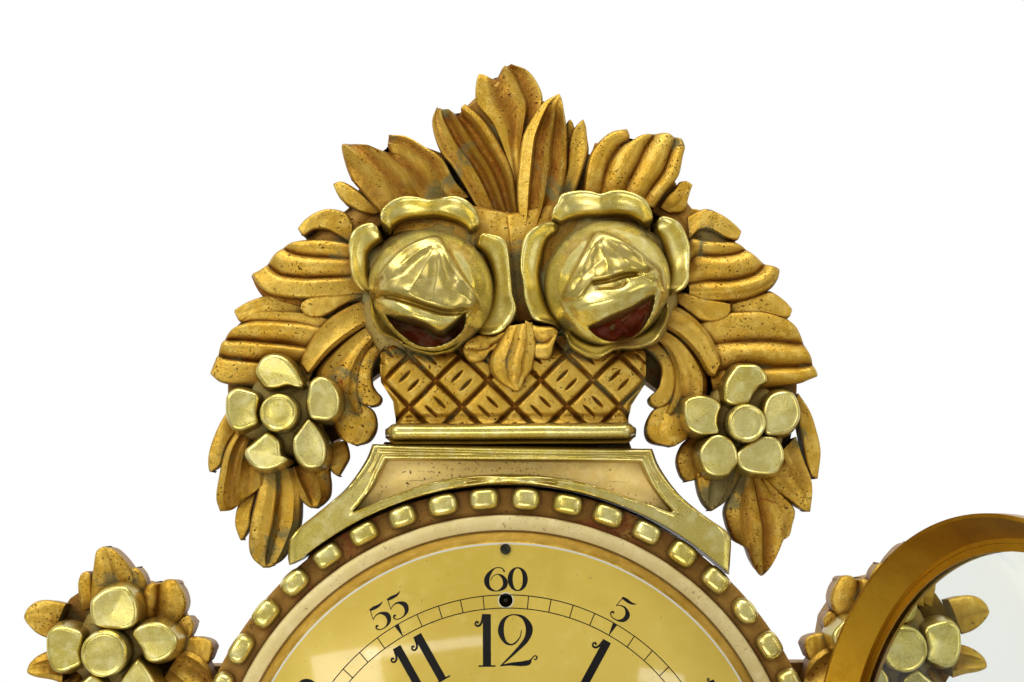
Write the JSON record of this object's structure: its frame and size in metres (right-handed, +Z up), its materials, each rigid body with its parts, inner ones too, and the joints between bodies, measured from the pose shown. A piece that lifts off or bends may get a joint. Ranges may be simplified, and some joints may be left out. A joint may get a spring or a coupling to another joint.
{
  "type": "wall clock",
  "caption": "Carved giltwood wall clock with a pearl-ringed round dial, hinged glass door, basket of roses and leaf crest, and a leaf pendant.",
  "frame": {"origin": "on the wall plane, on the axis of the dial and hands", "axes": "+X to the viewer's right, +Y into the wall, +Z up; the dial faces -Y"},
  "size_m": [0.4138, 0.2907, 0.6495],
  "materials": {
    "gilt_wood": "worn matte gilding",
    "burnished_gilt": "burnished gilding",
    "cream_gilt": "pale matte gilding",
    "bare_wood": "stained back",
    "gilt_metal": "satin",
    "dark_brass": "aged",
    "brass": "polished",
    "steel": "polished",
    "enamel": "gloss enamel",
    "painted_drum": "dark paint",
    "glass": "clear"
  },
  "bodies": {
    "clock_case": {"back_cover": "bare_wood", "basket": "gilt_wood", "basket_bar": "burnished_gilt", "bell": "brass", "bell_stand": "brass", "bracket_screws": "steel", "case_drum": "painted_drum", "case_ring": "gilt_wood", "centre_leaf": "gilt_wood", "cover_screws": "steel", "cream_ring": "cream_gilt", "crest_board": "bare_wood", "crest_leaves": "gilt_wood", "dial_plate": "enamel", "dial_screws": "steel", "dial_surround": "gilt_metal", "hanger_plate": "brass", "hinge_leaf": "dark_brass", "hinge_pin": "steel", "left_crest_rosette": "burnished_gilt", "left_drop_leaves": "gilt_wood", "left_side_leaves": "gilt_wood", "left_side_rosette": "burnished_gilt", "left_swag": "gilt_wood", "lower_board": "bare_wood", "lower_leaves": "gilt_wood", "movement_brackets": "brass", "movement_pillars": "brass", "movement_plates": "brass", "pearl_beads": "burnished_gilt", "pediment": "gilt_wood", "pediment_board": "bare_wood", "pediment_moulding": "burnished_gilt", "pendant_boss": "burnished_gilt", "pendant_finial": "gilt_wood", "right_crest_rosette": "burnished_gilt", "right_drop_leaves": "gilt_wood", "right_side_leaves": "gilt_wood", "right_side_rosette": "burnished_gilt", "right_swag": "gilt_wood", "rose_left": "burnished_gilt", "rose_right": "burnished_gilt", "suspension_cock": "brass"},
    "minute_drive": {"cannon_pinion": "steel", "minute_hand": "gilt_metal", "hand_nut": "gilt_metal"},
    "motion_wheel": {"minute_wheel": "brass"},
    "hour_drive": {"hour_wheel": "brass", "hour_hand": "gilt_metal"},
    "going_barrel_body": {"going_barrel": "brass"},
    "strike_barrel_body": {"strike_barrel": "brass"},
    "regulator": {"regulator_arbor": "steel"},
    "pendulum": {"pendulum_rod": "steel", "pendulum_bob": "brass"},
    "hammer": {"strike_hammer": "steel"},
    "door": {"bezel_ring": "dark_brass", "door_glass": "glass", "glass_retainer": "dark_brass"}
  },
  "joints": [
    {"name": "door_hinge", "type": "hinge", "parent": "clock_case", "child": "door", "pos_m": [0.1205, -0.069, 0], "axis": [0, 0, 1], "range_deg": [-112, 18]},
    {"name": "minute_turn", "type": "hinge", "parent": "clock_case", "child": "minute_drive", "pos_m": [0, -0.09, 0], "axis": [0, 1, 0], "continuous": true},
    {"name": "motion_wheel_turn", "type": "hinge", "parent": "clock_case", "child": "motion_wheel", "pos_m": [0.018, -0.061, 0], "axis": [0, 1, 0], "continuous": true},
    {"name": "hour_turn", "type": "hinge", "parent": "clock_case", "child": "hour_drive", "pos_m": [0, -0.0885, 0], "axis": [0, 1, 0], "continuous": true},
    {"name": "going_winding", "type": "hinge", "parent": "clock_case", "child": "going_barrel_body", "pos_m": [0.033, -0.036, -0.024], "axis": [0, 1, 0], "range_deg": [0, 1440]},
    {"name": "strike_winding", "type": "hinge", "parent": "clock_case", "child": "strike_barrel_body", "pos_m": [-0.033, -0.036, -0.024], "axis": [0, 1, 0], "range_deg": [0, 1440]},
    {"name": "regulator_turn", "type": "hinge", "parent": "clock_case", "child": "regulator", "pos_m": [0, -0.046, 0.084], "axis": [0, 1, 0], "range_deg": [-720, 720]},
    {"name": "pendulum_swing", "type": "hinge", "parent": "clock_case", "child": "pendulum", "pos_m": [0, -0.012, 0.08], "axis": [0, 1, 0], "range_deg": [-4, 4]},
    {"name": "hammer_lift", "type": "hinge", "parent": "clock_case", "child": "hammer", "pos_m": [0.027, -0.036, -0.047], "axis": [0, 1, 0], "range_deg": [-12, 0]}
  ],
  "couplings": [
    {"joint": "motion_wheel_turn", "follows": "minute_turn", "ratio": -0.33333},
    {"joint": "hour_turn", "follows": "minute_turn", "ratio": 0.083333}
  ]
}
